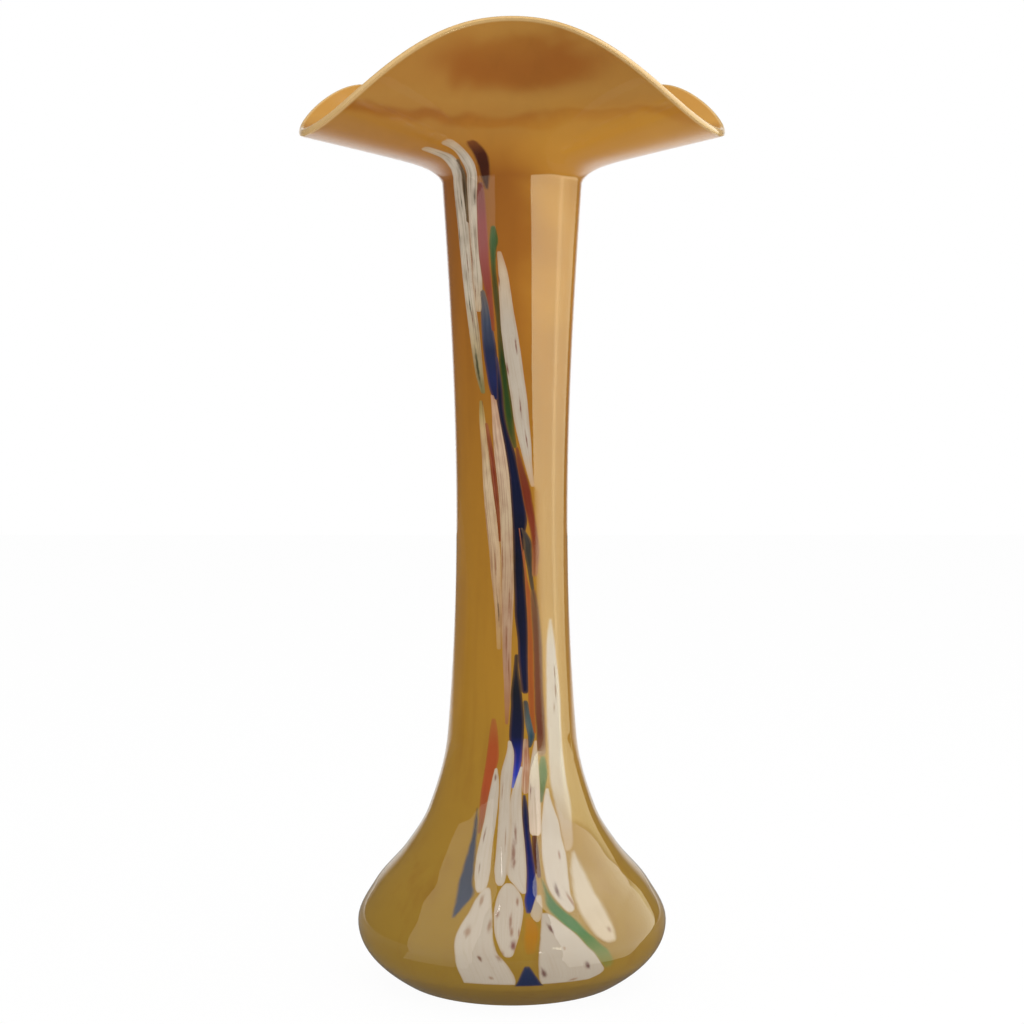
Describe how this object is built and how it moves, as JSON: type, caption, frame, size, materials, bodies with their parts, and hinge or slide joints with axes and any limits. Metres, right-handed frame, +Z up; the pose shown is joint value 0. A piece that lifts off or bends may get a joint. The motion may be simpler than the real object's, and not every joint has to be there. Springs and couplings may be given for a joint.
{
  "type": "vase",
  "caption": "Tall hand blown glass vase with a bulbous base, slender neck and ruffled flared mouth: amber lining, streaked coloured glass and a clear casing.",
  "frame": {"origin": "middle of the flat ground foot", "axes": "+Z up along the neck, -Y towards the front of the vase, +X to its right as seen from the front"},
  "size_m": [0.1668, 0.1486, 0.3692],
  "materials": {
    "clear_glass": "clear, fire polished",
    "amber_glass": "gloss",
    "white_glass": "gloss, speckled",
    "navy_glass": "gloss",
    "cobalt_glass": "gloss",
    "green_glass": "gloss",
    "orange_glass": "gloss",
    "mauve_glass": "gloss",
    "aubergine_glass": "gloss",
    "rust_glass": "gloss"
  },
  "bodies": {
    "root": {"clear_casing": "clear_glass", "amber_lining": "amber_glass", "white_trail_outer": "white_glass", "white_trail_inner": "white_glass", "dark_thread": "aubergine_glass", "aubergine_trail": "aubergine_glass", "mauve_trail": "mauve_glass", "green_trail": "green_glass", "blue_trail": "cobalt_glass", "white_trail_right": "white_glass", "white_strand_left": "white_glass", "red_thread": "rust_glass", "white_strand_right": "white_glass", "navy_trail": "navy_glass", "slate_thread": "navy_glass", "rust_trail": "rust_glass", "orange_trail": "orange_glass", "mauve_brown_trail": "mauve_glass", "navy_pool": "navy_glass", "teal_thread": "navy_glass", "pink_thread": "mauve_glass", "white_trail_lower_right": "white_glass", "orange_red_chip": "orange_glass", "blue_grey_chip": "cobalt_glass", "white_chip_tall_left": "white_glass", "white_chip_tall_middle": "white_glass", "white_chip_tall_right": "white_glass", "white_chip_slim": "white_glass", "aubergine_spot": "aubergine_glass", "cobalt_chip": "cobalt_glass", "green_chip_small": "green_glass", "white_chip_wide": "white_glass", "white_chip_outer": "white_glass", "green_chip_long": "green_glass", "white_chip_foot_left": "white_glass", "white_chip_oval": "white_glass", "white_chip_small": "white_glass", "orange_chip": "orange_glass", "white_chip_foot_right": "white_glass", "cobalt_chip_foot": "cobalt_glass"}
  },
  "joints": []
}
